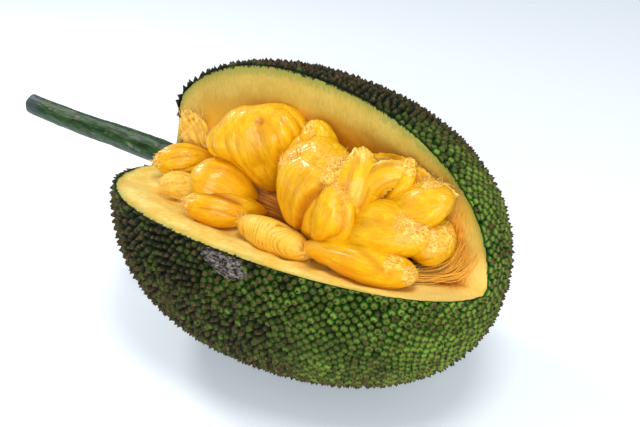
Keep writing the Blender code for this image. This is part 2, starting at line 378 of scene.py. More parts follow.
def stands_for(piece, node):
    """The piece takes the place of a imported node, and its size is compared with the node's."""
    low, high = (np.array(corner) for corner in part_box(node))
    points = points_of(piece.data)[0]
    beyond = max((low - points.min(0)).max(), (points.max(0) - high).max())
    print(f"{piece.name}: {len(piece.data.polygons)} faces, {beyond * 1000:+.1f} mm past {node}")
    belongs(piece)
    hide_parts(node)


# %% [markdown]
# ## The fruit's body
#
# The body is an uneven egg with a dimple for the stem. It could be carved with Booleans, but a cut
# made that way leaves long thin faces that take no relief. Here every ring of the mesh is already the
# cross-section of the cut fruit instead: it runs round the skin from one cut to the other, then in
# along the back cut to the corner of the wedge and out again along the front cut. Points that lie in
# the bowl where the bulbs grow are pushed outwards to its wall. So one even mesh holds skin, cut flesh
# and bowl, and each point knows how deep under the skin it lies.

# %% The shape of the skin
HALF_LENGTH = 0.1842
RADIUS = 0.1254
STEM_END_SQUARENESS = 2.03
TIP_END_SQUARENESS = 2.27
TAPER = -0.068
LEAN = 0.09
LEAN_ANGLE = math.radians(-87)
SKEW = 0.083
DIMPLE_DEPTH = 0.028
DIMPLE_WIDTH = 0.026
DIMPLE_OUT = 0.030
DIMPLE_ANGLE = math.radians(-10)
SPINE_HEIGHT = 0.0046


def skin_point(turn, angle, inset=SPINE_HEIGHT):
    """A point of the skin: turn goes from 0 at the stem to pi at the tip, and angle goes round."""
    turn, angle = np.broadcast_arrays(np.asarray(turn, float), angle)
    power = 2 / np.where(turn < math.pi / 2, STEM_END_SQUARENESS, TIP_END_SQUARENESS)
    x = -np.sign(np.cos(turn)) * np.abs(np.cos(turn)) ** power * (HALF_LENGTH - inset)
    radius = (RADIUS - inset) * np.sin(turn) ** power * (1 + TAPER * x / HALF_LENGTH)
    away = radius**2 + DIMPLE_OUT**2 - 2 * radius * DIMPLE_OUT * np.cos(angle - DIMPLE_ANGLE)
    x = np.where(x < 0, x + DIMPLE_DEPTH * np.exp(-away / DIMPLE_WIDTH**2), x)
    radius_here = radius * (1 + LEAN * x / HALF_LENGTH * np.cos(angle - LEAN_ANGLE))
    return around_axis(x + SKEW * radius * np.sin(angle), angle, radius_here)


print("skin at the middle of the back:", np.round(skin_point(math.pi / 2, math.radians(180)), 4))

# %% Rings through skin, back cut and front cut
BODY_RINGS = 270
SKIN_POINTS = 96
CUT_POINTS = 66
turns = math.pi * (np.arange(BODY_RINGS) + 1) / (BODY_RINGS + 1)
skin_angles = np.linspace(FRONT_CUT, 2 * math.pi + BACK_CUT, SKIN_POINTS)
skin_part = skin_point(turns[:, None], skin_angles[None, :])

corner_last = HALF_LENGTH - SPINE_HEIGHT
corner_first = DIMPLE_DEPTH * math.exp(-((DIMPLE_OUT / DIMPLE_WIDTH) ** 2)) - corner_last
corner_x = corner_first + (corner_last - corner_first) * (1 - np.cos(turns)) / 2
corner = around_axis(corner_x, 0, 0)[:, None]
inward = (np.arange(1, CUT_POINTS + 1) / CUT_POINTS) ** 1.25


def cut_face(edge, parts):
    """Points from an edge of the skin so far on towards the corner of the wedge, and how deep they lie."""
    face = edge + (corner - edge) * parts[None, :, None]
    return face, np.linalg.norm(face - edge, axis=-1)


back_part, depth_back = cut_face(skin_part[:, -1:], inward)
front_part, depth_front = cut_face(skin_part[:, :1], inward[-2::-1])
sections = np.concatenate([skin_part, back_part, front_part], axis=1)
depth = np.concatenate([np.zeros(skin_part.shape[:2]), depth_back, depth_front], axis=1)
on_front = np.zeros(depth.shape)
on_front[:, SKIN_POINTS + CUT_POINTS :] = 1
print("each ring has", sections.shape[1], "points")

# %% The bowl that the bulbs grow in
BOWL_HALF_LENGTH = 0.235
BOWL_RADIUS = 0.0590
BOWL_CENTRE_X = 0.005
BOWL_CENTRE_OUT = 0.070
BOWL_EDGE = 0.005


def press_into_bowl(points):
    """Pushes points out to the wall of the bowl, and says how far inside it they were."""
    local = points - FRUIT_CENTRE
    middle = OPENING * BOWL_CENTRE_OUT
    away = local - middle
    away[..., 0] = 0
    distance = np.linalg.norm(away, axis=-1)
    part = np.clip(1 - ((local[..., 0] - BOWL_CENTRE_X) / BOWL_HALF_LENGTH) ** 2, 0, 1)
    wall = BOWL_RADIUS * np.sqrt(part)
    rounded = (distance + wall + np.sqrt((distance - wall) ** 2 + BOWL_EDGE**2)) / 2
    moved = points + away * ((rounded / distance - 1) * (distance < wall + 0.02))[..., None]
    return moved, wall - distance


flesh = sections[:, SKIN_POINTS:]
pressed, inside = press_into_bowl(flesh)
sections[:, SKIN_POINTS:] = pressed
bowl = np.zeros(sections.shape[:2])
bowl[:, SKIN_POINTS:] = smooth_step(inside, -0.004, 0.026)
pressed_by = np.linalg.norm(pressed - flesh, axis=-1).max() / MM
print("deepest point of the bowl is", round(float(pressed_by), 1), "mm under the cuts")

# %% [markdown]
# ## Flesh and skin
#
# Cut flesh isn't one colour. A dark line of skin edges it, green streaks reach in from there, then it
# is a pale straw yellow that turns orange towards the bulbs. All of that depends on the depth under
# the skin, which the mesh carries as an attribute, so the colours are mixed along it. Noise stretched
# along the fibres breaks them into streaks. The front cut lies flatter and is a brighter cream: partly
# its own colour and partly painted light, since it faces up into the light, while the back cut is
# painted a darker straw as shade. The orange towards the bulbs and in the bowl is mostly kept off the
# front cut.

# %% Material of the cut flesh
flesh_finish = Material("cut flesh", roughness=0.52, shine=0.22)
flesh_finish.glow_inside(0.25, (1.0, 0.5, 0.15), 0.006)
under = flesh_finish.attribute("depth")
front_side = flesh_finish.attribute("front")
back_side = flesh_finish.between(front_side, 0, 1, 1.0, 0.12)
streaks = flesh_finish.noise(flesh_finish.grain((1, 0.12, 1)), 0.0022, detail=3, roughness=0.6)
patches = flesh_finish.noise(flesh_finish.place(), 0.022, detail=3)
ragged_depth = flesh_finish.plus(under, flesh_finish.between(streaks, 0.3, 0.7, 0.004, -0.004))

# Painted light: the back cut's straw is darker, as shade, and the front cut's cream brighter, as if lit.
straw = flesh_finish.mix(front_side, srgb(204, 170, 70), srgb(248, 200, 84))
paler = flesh_finish.mix(front_side, srgb(218, 188, 90), srgb(255, 234, 138))
streaked = flesh_finish.plus(flesh_finish.times(patches, 0.5), streaks, 0.5)
straw = flesh_finish.mix(flesh_finish.between(streaked, 0.38, 0.62), straw, paler)
toward_bulbs = flesh_finish.times(flesh_finish.between(ragged_depth, 0.020, 0.054), back_side)
ripe = flesh_finish.mix(flesh_finish.times(toward_bulbs, 0.85), straw, srgb(250, 184, 34))

green = flesh_finish.mix(streaks, srgb(108, 122, 40), srgb(178, 178, 88))
fringe = flesh_finish.between(ragged_depth, 0.002, 0.0115, 1, 0)
fringe = flesh_finish.times(fringe, flesh_finish.plus(0.9, front_side, -0.35))
greened = flesh_finish.mix(fringe, ripe, green)
hairy_depth = flesh_finish.plus(under, flesh_finish.between(streaks, 0.3, 0.7, 0.0012, -0.0016))
edged = flesh_finish.mix(flesh_finish.between(hairy_depth, 0.0, 0.0018, 1, 0), greened, srgb(36, 42, 14))

bowl_colour = flesh_finish.mix(streaks, srgb(246, 164, 14), srgb(255, 200, 60))
in_bowl = flesh_finish.times(flesh_finish.attribute("bowl"), back_side)
inner = flesh_finish.mix(in_bowl, edged, bowl_colour)
cream = flesh_finish.mix(streaks, srgb(248, 200, 78), srgb(255, 238, 154))
past_skin = flesh_finish.between(ragged_depth, 0.002, 0.006)
creamed = flesh_finish.mix(flesh_finish.times(flesh_finish.attribute("tip_end"), past_skin), inner, cream)
bed_streaks = flesh_finish.between(streaks, 0.35, 0.65)
bed_brown = flesh_finish.mix(bed_streaks, srgb(206, 118, 14), srgb(246, 184, 66))
flesh_finish.paint(flesh_finish.attribute("bed"), creamed, bed_brown)
flesh_finish.bump(flesh_finish.plus(streaks, patches, 1.5), 0.0009, 0.6)

# %% Material of the skin between the spines
# Painted shade: the skin between the spines is near-black green, standing for the shade deep in the gaps.
skin_finish = Material("skin", roughness=0.9, shine=0.1)
skin_patches = skin_finish.noise(skin_finish.place(), 0.012, detail=3)
skin_finish.paint(skin_patches, srgb(8, 11, 3), srgb(20, 34, 8))
skin_finish.bump(skin_finish.noise(skin_finish.place(), 0.002, detail=3), 0.0006)

# %% Where the flesh is cream at the tip, and where strands were torn from it
along_fruit = sections[..., 0] - FRUIT_CENTRE[0]
from_corner = np.linalg.norm((sections - FRUIT_CENTRE)[..., 1:], axis=-1)
near_corner = np.maximum(on_front, 1 - smooth_step(from_corner, 0.012, 0.034))
tip_end = smooth_step(along_fruit, 0.122, 0.156) * 0.9 * near_corner
bed_x = along_fruit + 0.15 * (from_corner - 0.03)
bed = smooth_step(bed_x, 0.122, 0.138) * (1 - smooth_step(bed_x, 0.150, 0.164)) * (depth > 0) * 0.9
bed *= 1 - smooth_step(from_corner, 0.034 - 0.026 * on_front, 0.068 - 0.042 * on_front)

# %% The body
body = closed_skin(
    "fruit_body", sections, skin_finish, depth=depth, front=on_front, bowl=bowl, tip_end=tip_end, bed=bed
)
body.data.materials.append(flesh_finish.made)
side_of_face = np.tile(np.arange(sections.shape[1]), BODY_RINGS - 1)
fans = np.tile(np.arange(sections.shape[1]), 2)
of_flesh = (np.concatenate([side_of_face, fans]) >= SKIN_POINTS - 1).astype(np.int32)
body.data.polygons.foreach_set("material_index", of_flesh)
wavy = lumps(sections, 0.030, 1) * 0.0010 + lumps(sections, 0.009, 2) * 0.0004
fibrous = lumps(sections, 0.012, 3) * 0.0022 * bowl
near_edge = smooth_step(depth, 0.0, 0.003)
height = np.where(depth > 0, wavy * near_edge + fibrous, lumps(sections, 0.025, 4) * 0.0008)
height[:, [0, SKIN_POINTS - 1]] = 0
raise_skin(body, height)
body.data.set_sharp_from_angle(angle=math.radians(55))
stands_for(body, "rind")

# %% [markdown]
# ## Spines
#
# The rind carries thousands of short spines, each with a five- or six-sided foot that presses on its
# neighbours. They spiral round the fruit much as the scales of a cone do, so their places come from
# the golden angle: each next spine is a golden angle further round, and so far along that every one
# has the same area of skin. Chance shifts them a little, and then each pushes on its six nearest
# neighbours, as growing spines do, until they fill the skin evenly. One small spine is modelled, and
# Geometry Nodes stand a copy on each place, turned along the normal of the skin there.


# %% Geometry Nodes trees
class Tree(Nodes):
    """A Geometry Nodes tree with named inputs, and short calls that fill it and run it."""

    def __init__(self, name, **inputs):
        super().__init__(bpy.data.node_groups.new(name, "GeometryNodeTree"))
        self.tree.is_modifier = True
        for label, kind in {"Start": "Geometry", **inputs, "Material": "Material"}.items():
            self.tree.interface.new_socket(label, in_out="INPUT", socket_type="NodeSocket" + kind)
        self.tree.interface.new_socket("Result", in_out="OUTPUT", socket_type="NodeSocketGeometry")
        self.given = self.tree.nodes.new("NodeGroupInput").outputs

    def named(self, label, kind="FLOAT"):
        """A value that each point of the start carries."""
        read = self.add("GeometryNodeInputNamedAttribute", {"Name": label}, data_type=kind)
        return read.outputs["Attribute"]

    def end(self, geometry):
        """Makes copies real, gives everything its material and hands it out."""
        real = self.add("GeometryNodeRealizeInstances", {"Geometry": geometry}).outputs["Geometry"]
        painted = self.add("GeometryNodeSetMaterial", {"Geometry": real, "Material": self.given["Material"]})
        self.add("NodeGroupOutput", {"Result": painted.outputs["Geometry"]})

    def run(self, name, points, edges, carried, **values):
        """Runs the tree on points that carry values, and returns the result as a plain mesh object."""
        start = bpy.data.meshes.new(name + "_start")
        start.from_pydata(points.tolist(), edges, [])
        carry(start, carried)
        holder = new_object(name + "_start", start)
        modifier = holder.modifiers.new(name, "NODES")
        modifier.node_group = self.tree
        for item in self.tree.interface.items_tree:
            if item.in_out == "INPUT" and item.name in values:
                modifier[item.identifier] = values[item.name]
        bpy.context.view_layer.update()
        evaluated = holder.evaluated_get(bpy.context.evaluated_depsgraph_get())
        result = bpy.data.meshes.new_from_object(evaluated)
        result.name = name
        bpy.data.objects.remove(holder)
        return new_object(name, result)


# %% A tree that stands copies of one shape on points
copies = Tree("stand copies on points", Shape="Object", Height="Float", Width="Float")
aligned = copies.add(
    "FunctionNodeAlignRotationToVector", {"Vector": copies.named("out", "FLOAT_VECTOR")}, axis="Z"
)
spin = copies.add("ShaderNodeCombineXYZ", {"Z": copies.named("turn")})
turned = copies.add(
    "FunctionNodeRotateRotation",
    {"Rotation": aligned.outputs["Rotation"], "Rotate By": spin.outputs["Vector"]},
    rotation_space="LOCAL",
)
tall = copies.times(copies.named("tall"), copies.given["Height"])
wide = copies.times(copies.named("wide"), copies.given["Width"])
size = copies.add("ShaderNodeCombineXYZ", {"X": wide, "Y": wide, "Z": tall})
shape = copies.add("GeometryNodeObjectInfo", {"Object": copies.given["Shape"]})
points = copies.add("GeometryNodeMeshToPoints", {"Mesh": copies.given["Start"]})
placed = copies.add(
    "GeometryNodeInstanceOnPoints",
    {
        "Points": points.outputs["Points"],
        "Instance": shape.outputs["Geometry"],
        "Rotation": turned.outputs["Rotation"],
        "Scale": size.outputs["Vector"],
    },
)
copies.end(placed.outputs["Instances"])


# %% One spine
def stacked_shape(name, outline, sides):
    """A pointed shape of unit height from (radius, height) steps and a tip, with its height as "tip"."""
    corners = full_turn(sides)
    points = [(radius * math.cos(a), radius * math.sin(a), z) for radius, z in outline for a in corners]
    points.append((0, 0, 1))
    faces = []
    for step in range(len(outline) - 1):
        for side in range(sides):
            here, after = step * sides + side, step * sides + (side + 1) % sides
            faces.append((here, after, after + sides, here + sides))
    top = (len(outline) - 1) * sides
    faces += [(top + side, top + (side + 1) % sides, len(points) - 1) for side in range(sides)]
    faces.append(tuple(range(sides))[::-1])
    mesh = bpy.data.meshes.new(name)
    mesh.from_pydata(points, [], faces)
    carry(mesh, {"tip": [max(z, 0) for _, _, z in points]})
    return new_object(name, mesh)


spine = stacked_shape("one_spine", ((0.67, -0.15), (0.40, 0.28), (0.16, 0.74)), 6)
print("one spine has", len(spine.data.polygons), "faces")

# %% Where the spines stand
SPINE_PITCH = 0.0063
GOLDEN_ANGLE = math.pi * (3 - math.sqrt(5))
table_turn = np.linspace(0, math.pi, 2000)
table_points = skin_point(table_turn, math.pi)
radius_there = np.abs(table_points[:, 2] - FRUIT_CENTRE[2])
step_length = np.linalg.norm(np.diff(table_points, axis=0), axis=-1)
step_area = 2 * math.pi * (radius_there[1:] + radius_there[:-1]) / 2 * step_length
area = np.concatenate([[0], np.cumsum(step_area)])
spine_count = int(area[-1] / (SPINE_PITCH**2 * math.sqrt(3) / 2))
number = np.arange(spine_count)
spine_turn = np.interp((number + 0.5) / spine_count * area[-1], area, table_turn)
spine_angle = number * GOLDEN_ANGLE % (2 * math.pi)
random = np.random.default_rng(7)
spine_turn = spine_turn + random.normal(0, 0.010, spine_count)
spine_angle = spine_angle + random.normal(0, 0.010, spine_count) / np.maximum(np.sin(spine_turn), 0.1)
STEP = 0.002
ENDS = (0.02, math.pi - 0.004)  # no spine stands nearer to either end of the fruit
PUSHES = 9
PUSH_SHARE = 0.35
REACH = 1.12 * SPINE_PITCH
OVER_CUT = 0.014  # spines may stand this far past a cut, and are sliced there
DIMPLE_TURN = 0.35  # the skin before this turn faces the stem


def spread_out(turn, angle):
    """Neighbours within reach push each other along the skin, a few times over."""
    for _ in range(PUSHES):
        turn = np.clip(turn, *ENDS)
        places = skin_point(turn, angle)
        tree = KDTree(len(places))
        for index, place in enumerate(places.tolist()):
            tree.insert(place, index)
        tree.balance()
        near = [[found[1] for found in tree.find_n(place, 7)[1:]] for place in places.tolist()]
        gap = places[:, None] - places[near]
        length = np.linalg.norm(gap, axis=-1, keepdims=True) + 1e-6
        push = (gap / length * np.clip(REACH - length, 0, None)).sum(1) * PUSH_SHARE
        along = (skin_point(turn + STEP, angle) - places) / STEP
        round_it = (skin_point(turn, angle + STEP) - places) / STEP
        turn = turn + (push * along).sum(-1) / (along**2).sum(-1)
        angle = angle + (push * round_it).sum(-1) / ((round_it**2).sum(-1) + 1e-5)
    return np.clip(turn, *ENDS), angle % (2 * math.pi)


spine_turn, spine_angle = spread_out(spine_turn, spine_angle)
beyond_cut = (spine_angle > FRONT_CUT - OVER_CUT) & (spine_angle < 2 * math.pi + BACK_CUT + OVER_CUT)
spine_turn, spine_angle = spine_turn[beyond_cut], spine_angle[beyond_cut]
spine_places = skin_point(spine_turn, spine_angle)
along_skin = skin_point(spine_turn + STEP, spine_angle) - spine_places
round_skin = skin_point(spine_turn, spine_angle + STEP) - spine_places
spine_out = np.cross(along_skin, round_skin)
spine_out /= np.linalg.norm(spine_out, axis=-1, keepdims=True)
outwards = np.sign((spine_out * (spine_places - FRUIT_CENTRE)).sum(-1, keepdims=True))
in_dimple = (spine_turn < DIMPLE_TURN)[:, None]
spine_out *= np.where(in_dimple, np.sign(-spine_out[:, :1]), outwards)
print(spine_count, "places on the whole fruit,", len(spine_places), "outside the wedge")

# %% [markdown]
# The colour of the rind changes over its surface. Most spines are green on their flanks with brown,
# corky tips. Towards the stem the cork spreads until whole spines are brown, and towards the round tip
# they stay green. Each spine therefore carries a "tone", from green to brown, that mixes its place on
# the fruit with chance, and the material mixes that with the height up the spine.

# %% Material of the spines
spine_finish = Material("spines", roughness=0.6, shine=0.12)
up_spine = spine_finish.attribute("tip")
tone = spine_finish.attribute("tone")
fleck = spine_finish.noise(spine_finish.place(), 0.006, detail=3, roughness=0.7)
# The light attribute is partly painted light: it sets how bright the green of each spine and its foot is.
light = spine_finish.attribute("light")
leaf = spine_finish.mix(light, srgb(26, 42, 12), srgb(136, 162, 64))
cork = spine_finish.mix(spine_finish.between(fleck, 0.3, 0.7), srgb(30, 20, 12), srgb(98, 75, 48))
flank = spine_finish.mix(spine_finish.between(tone, 0.55, 1.10), leaf, cork)
corky_tip = spine_finish.between(spine_finish.plus(up_spine, tone, 0.40), 0.54, 0.92)
tipped = spine_finish.mix(corky_tip, flank, cork)
# Painted shade: the foot of each spine turns near black, for the shade in the crevices between spines.
crevice_shade_mask = spine_finish.between(up_spine, 0.10, 0.52)
groove = spine_finish.mix(light, srgb(4, 8, 2), srgb(22, 78, 10))
spine_finish.paint(crevice_shade_mask, groove, tipped)
spine_finish.bump(fleck, 0.0004)

# %% The spines
local = spine_places - FRUIT_CENTRE
towards_stem = smooth_step(-local[:, 0], -0.06, 0.16)
on_top = smooth_step(local[:, 2], -0.01, 0.09)
towards_tip = smooth_step(local[:, 0], 0.02, 0.17)
spine_tone = 0.30 + 0.30 * towards_stem + 0.08 * on_top
spine_tone = spine_tone + 0.30 * lumps(spine_places, 0.035, 11) + random.normal(0, 0.16, len(local))
# Partly painted light: spines are painted lighter towards the tip end, as if lit from that side, where they
# are also a fresher green, and darker along the top of the fruit.
spine_lit_and_fresh = 0.12 + 0.72 * towards_tip - 0.32 * on_top
spine_lit_and_fresh = spine_lit_and_fresh + 0.25 * lumps(spine_places, 0.05, 12) + random.normal(0, 0.18, len(local))
spines = copies.run(
    "rind_spines",
    spine_places,
    [],
    {
        "out": spine_out + random.normal(0, 0.10, (len(local), 3)),
        "turn": random.uniform(0, math.pi / 3, len(local)),
        "tall": np.clip(random.normal(1.0, 0.14, len(local)), 0.65, 1.2),
        "wide": np.clip(random.normal(1.0, 0.09, len(local)), 0.8, 1.2),
        "tone": np.clip(spine_tone, 0, 1),
        "light": np.clip(spine_lit_and_fresh, 0, 1),
    },
    Shape=spine,
    Height=SPINE_HEIGHT,
    Width=SPINE_PITCH,
    Material=spine_finish.made,
)


SHY_OF_CUT = 0.3 * MM  # sliced spines end this far short of the cut


def slice_at_cuts(piece):
    """Moves points that reach over a cut, or under the floor, back onto it."""
    points = points_of(piece.data)[0]
    from_back = np.array((0, -math.cos(BACK_CUT), -math.sin(BACK_CUT)))
    from_front = np.array((0, math.cos(FRONT_CUT), math.sin(FRONT_CUT)))
    past_back = (points - FRUIT_CENTRE) @ from_back + SHY_OF_CUT
    past_front = (points - FRUIT_CENTRE) @ from_front + SHY_OF_CUT
    in_wedge = (past_back > 0) & (past_front > 0)
    nearer_back = in_wedge & (past_back < past_front)
    nearer_front = in_wedge & ~nearer_back
    points -= np.outer(past_back * nearer_back, from_back) + np.outer(past_front * nearer_front, from_front)
    points[:, 2] = np.maximum(points[:, 2], 0)
    piece.data.vertices.foreach_set("co", points.ravel())
    piece.data.update()


slice_at_cuts(spines)
spines.data.shade_flat()
belongs(spines)
print("the spines have", len(spines.data.polygons), "faces")

# %% [markdown]
# ## Bulbs
#
# A bulb is the part that is eaten: a fleshy, glossy purse round a seed, widest near its crown and
# tapering to the core. Each packed bulb is a drop that runs along a line from its base to its crown, so
# the fine bulb follows the same line with the same width. Over that come the things that make it look
# grown: pleats that run from base to crown, folds that meet in narrow creases, seams where the purse
# laps over itself, dents, lumps and torn patches. They are all heights along the skin, and the height
# also tells the material where the creases and the torn patches are. The crease value paints
# shade into the creases, seams, the grooves of torn patches and the base near the core, and darkens
# small deep dents such as the dimple at the crown, which is partly its own brown.

# %% Material of the bulbs
bulb_finish = Material("ripe bulb", roughness=0.38, shine=0.25)
bulb_finish.glow_inside(0.2, (1.0, 0.6, 0.1), 0.004)
bulb_finish.set("Coat Weight", 0.3)
bulb_finish.set("Coat Roughness", 0.08)
veins = bulb_finish.noise(bulb_finish.lengthwise((0.18, 1, 1)), 0.0034, detail=3, roughness=0.6)
threads = bulb_finish.noise(bulb_finish.lengthwise((0.12, 1, 1)), 0.0012, detail=2)
blush = bulb_finish.noise(bulb_finish.place(), 0.020, detail=2)
bright = bulb_finish.mix(bulb_finish.between(veins, 0.35, 0.7), srgb(232, 170, 4), srgb(243, 197, 24))
bright = bulb_finish.mix(bulb_finish.between(blush, 0.45, 0.75, 0.0, 0.6), bright, srgb(235, 160, 4))
# Painted shade: creases, seams and the base of each bulb are darkened to deep orange.
creased = bulb_finish.mix(bulb_finish.attribute("crease"), bright, srgb(176, 84, 0))
torn_streaks = bulb_finish.noise(bulb_finish.lengthwise((0.4, 1, 1)), 0.0017, detail=3, roughness=0.7)
torn_streaks = bulb_finish.between(torn_streaks, 0.38, 0.60)
torn_colour = bulb_finish.mix(torn_streaks, srgb(220, 146, 14), srgb(252, 216, 98))
bulb_finish.paint(bulb_finish.attribute("torn"), creased, torn_colour)
fine_folds = bulb_finish.plus(bulb_finish.plus(veins, threads, 0.35), blush, 0.8)
bulb_finish.bump(fine_folds, 0.0016, 0.6)


# %% Relief of a bulb
def bulb_frame(base, crown):
    """The two ends of a bulb's line, and the directions across it and towards the opening."""
    start, end = spot(*base), spot(*crown)
    along = (end - start) / np.linalg.norm(end - start)
    across = np.cross(along, OPENING)
    across /= np.linalg.norm(across)
    return start, end, across, np.cross(across, along)


def shortest(turn):
    """The same turn as an angle between half a turn back and half a turn on."""
    return (turn + math.pi) % (2 * math.pi) - math.pi


class Relief:
    """Heights, creases and tears over a bulb, gathered a feature at a time. Sizes are mm and degrees."""

    def __init__(self, part, angle, where, seed):
        self.part, self.angle = np.broadcast_arrays(part, angle)
        self.where = where
        self.height = np.zeros(self.part.shape)
        # Painted shade towards the base, where the bulbs crowd together at the core.
        self.crease = 0.7 * (1 - smooth_step(self.part, 0.0, 0.35))
        self.torn = np.zeros(self.part.shape)
        self.seed = seed

    # Marks a line to be painted darker as shade.
    def mark(self, line, strength):
        self.crease = np.maximum(self.crease, line * strength)

    def pleats(self, count, deep, twist=0.0, last=0.95):
        """Broad bands that run from the base to the crown, with narrow creases between them."""
        wander = lumps(self.where, (30, 14, 14), self.seed)
        band = np.abs(np.sin((self.angle * count + wander * 2.4 + twist * self.part) / 2)) ** 0.65
        fade = smooth_step(self.part, 0, 0.3) * (1 - smooth_step(self.part, last - 0.28, last))
        self.height += (band - 0.8) * deep * fade
        self.mark((1 - band) ** 3 * fade, 0.55 * min(deep, 1))

    def folds(self, deep, apart, long=60, strength=0.18):
        """Soft lobes so far apart round the bulb and so long along it, that meet in narrow creases."""
        field = lumps(self.where, (long, apart, apart), self.seed + 3)
        field = field + 0.4 * lumps(self.where, (long / 2, apart / 2.2, apart / 2.2), self.seed + 4)
        line = np.exp(-((field / 0.07) ** 2))
        self.height += 0.6 * deep * (np.clip(np.abs(field) * 2.2, 0, 1) ** 0.6 - 0.7)
        self.mark(line, strength * min(deep, 1))

    def seam(self, knots, deep, wide=7, step=0.0):
        """A groove through (part, angle) places. The side at greater angles stands a step higher."""
        parts, angles = np.array(knots, float).T
        off = shortest(self.angle - np.radians(np.interp(self.part, parts, angles)))
        wide = math.radians(wide)
        line = np.exp(-((off / wide) ** 2))
        fade = smooth_step(self.part, parts[0] - 0.08, parts[0] + 0.08)
        fade = fade * (1 - smooth_step(self.part, parts[-1] - 0.08, parts[-1] + 0.08))
        shelf = smooth_step(off, 0, wide) * (1 - smooth_step(off, math.radians(25), math.radians(75)))
        self.height += (step * shelf - deep * line) * fade
        self.mark(line * fade, 0.8 if step else 0.3)

    def distance_from(self, part, angle):
        """How far in mm each point is from one place on the bulb."""
        ring = np.abs(self.part[:, 0] - part).argmin()
        side = np.abs(shortest(self.angle[0] - math.radians(angle))).argmin()
        return np.linalg.norm(self.where - self.where[ring, side], axis=-1)

    def dent(self, part, angle, deep, wide):
        """A round dent, or a swelling where deep is negative."""
        spot = np.exp(-((self.distance_from(part, angle) / wide) ** 2))
        self.height -= deep * spot
        self.mark(spot, 0.7 if deep > 0 and wide < 10 else 0)

    def tear(self, part, angle, wide, rough):
        """A patch where a neighbour was pulled off: pale, rough and fibrous."""
        ragged = self.distance_from(part, angle) / wide + 0.35 * lumps(self.where, 5, self.seed + 8)
        spot = smooth_step(1 - ragged, 0, 0.35)
        self.torn = np.maximum(self.torn, spot)
        grain = lumps(self.where, (7, 1.8, 2.4), self.seed + 5)
        grain = grain + 0.6 * lumps(self.where, (1.6, 5, 2), self.seed + 6)
        self.height += spot * rough * grain
        # Painted shade in the grooves of the torn grain.
        self.mark(spot * smooth_step(-grain, 0.1, 0.6), 0.6)

    def lumpy(self, deep, size=20):
        self.height += deep * lumps(self.where, size, self.seed + 1)


grown = {}  # the finished skins, for fibres to root on


def make_bulb(node, line, sizes, relief, fine=96, material=bulb_finish, blunt=0.52):
    """A bulb on its packed line; sizes are width, thickness and bow in mm, and fullness."""
    width, thickness, bow, fullness = sizes
    start, end, across, front = bulb_frame(*line)
    part, angle = crowded_ends(fine), full_turn(fine)
    swell = np.maximum(np.sin(math.pi * part**fullness), 0) ** blunt
    middle = start + np.outer(part, end - start) + np.outer(np.sin(math.pi * part), front * bow * MM)
    round_it = np.outer(np.cos(angle), across * width) + np.outer(np.sin(angle), front * thickness)
    rings = middle[:, None] + round_it[None] * swell[:, None, None] * MM / 2
    along = (end - start) / np.linalg.norm(end - start)
    where = (rings - start) @ np.stack([along, across, front], 1) / MM
    marks = Relief(part[:, None], angle[None, :], where, sum(map(ord, node)))
    relief(marks)
    values = {"crease": marks.crease, "torn": marks.torn, "lengthwise": where * MM}
    piece = closed_skin(node + "_fine", rings, material, **values)
    raise_skin(piece, marks.height * MM)
    grown[node] = [values[1:-1].reshape(fine, fine, 3) for values in points_of(piece.data)]
    stands_for(piece, node)


# %% [markdown]
# The two biggest bulbs lead. The one at the back is two lobes grown together, with a dimple near the
# crown where the flower was. The one in the middle laps over itself along a deep curved seam, and its
# crown is torn and stringy where its neighbour in the missing wedge was pulled away.


# %% The large bulb at the back
def back_relief(marks):
    marks.pleats(17, 2.0, twist=1.4)
    marks.seam(((0.30, 92), (0.6, 84), (0.80, 71)), 2.6, wide=14)
    marks.dent(0.83, 68, 3.0, 3.5)
    marks.dent(0.64, 52, -3.5, 17)
    marks.dent(0.78, 160, -5.5, 18)
    marks.dent(0.38, 176, 9, 24)
    marks.dent(0.30, 150, 3, 20)
    marks.folds(1.2, apart=11)
    marks.lumpy(2.2)


make_bulb("bulb_back", ((-22, 16, 22), (-49, 8, 91)), (86, 46, 0, 1.35), back_relief, fine=136)


# %% The large bulb in the middle
def centre_relief(marks):
    marks.pleats(12, 2.4, twist=0.8, last=0.98)
    lap = ((0.10, 75), (0.25, 73), (0.44, 71), (0.64, 67), (0.81, 57), (0.92, 30))
    marks.seam(lap, 3.2, wide=3.6, step=4.0)
    marks.tear(0.94, 4, 18, 0.55)
    marks.tear(0.66, 113, 7, 1.2)
    marks.folds(1.1, apart=12)
    marks.lumpy(2.4)


make_bulb("bulb_centre", ((28, 72, 24), (53, 13, 86)), (106, 56, 0, 1.08), centre_relief, fine=170)


# %% Small bulbs behind those two
def behind_relief(marks):
    marks.pleats(5, 1.2)
    marks.seam(((0.4, 95), (0.9, 75)), 2.0, wide=10, step=1.6)
    marks.tear(0.95, 120, 7, 1.2)
    marks.folds(0.9, apart=8)


make_bulb("bulb_behind", ((22, 0, 24), (21, 3, 94)), (36, 28, 0, 1.5), behind_relief)


def flat_relief(marks):
    marks.pleats(6, 1.4)
    marks.tear(0.98, 90, 10, 1.2)
    marks.folds(1.4, apart=7)


make_bulb("bulb_flat", ((72, 4, 26), (116, 4, 86)), (34, 16, 0, 1.6), flat_relief)


# %% Bulbs at the stem end
def by_stem_relief(marks):
    marks.pleats(9, 1.6, twist=0.8)
    marks.tear(0.97, 90, 9, 1.5)
    marks.folds(0.8, apart=9)


def left_upper_relief(marks):
    marks.pleats(5, 1.0, twist=0.6)
    marks.dent(0.5, 60, -2.0, 14)
    marks.folds(0.8, apart=12)
    marks.lumpy(1.5)


def left_lower_relief(marks):
    marks.pleats(5, 0.9, twist=0.6)
    marks.seam(((0.3, 100), (0.6, 84), (0.85, 70)), 0.8, wide=12, step=0.9)
    marks.tear(0.98, 100, 10, 1.8)
    marks.folds(0.8, apart=9)


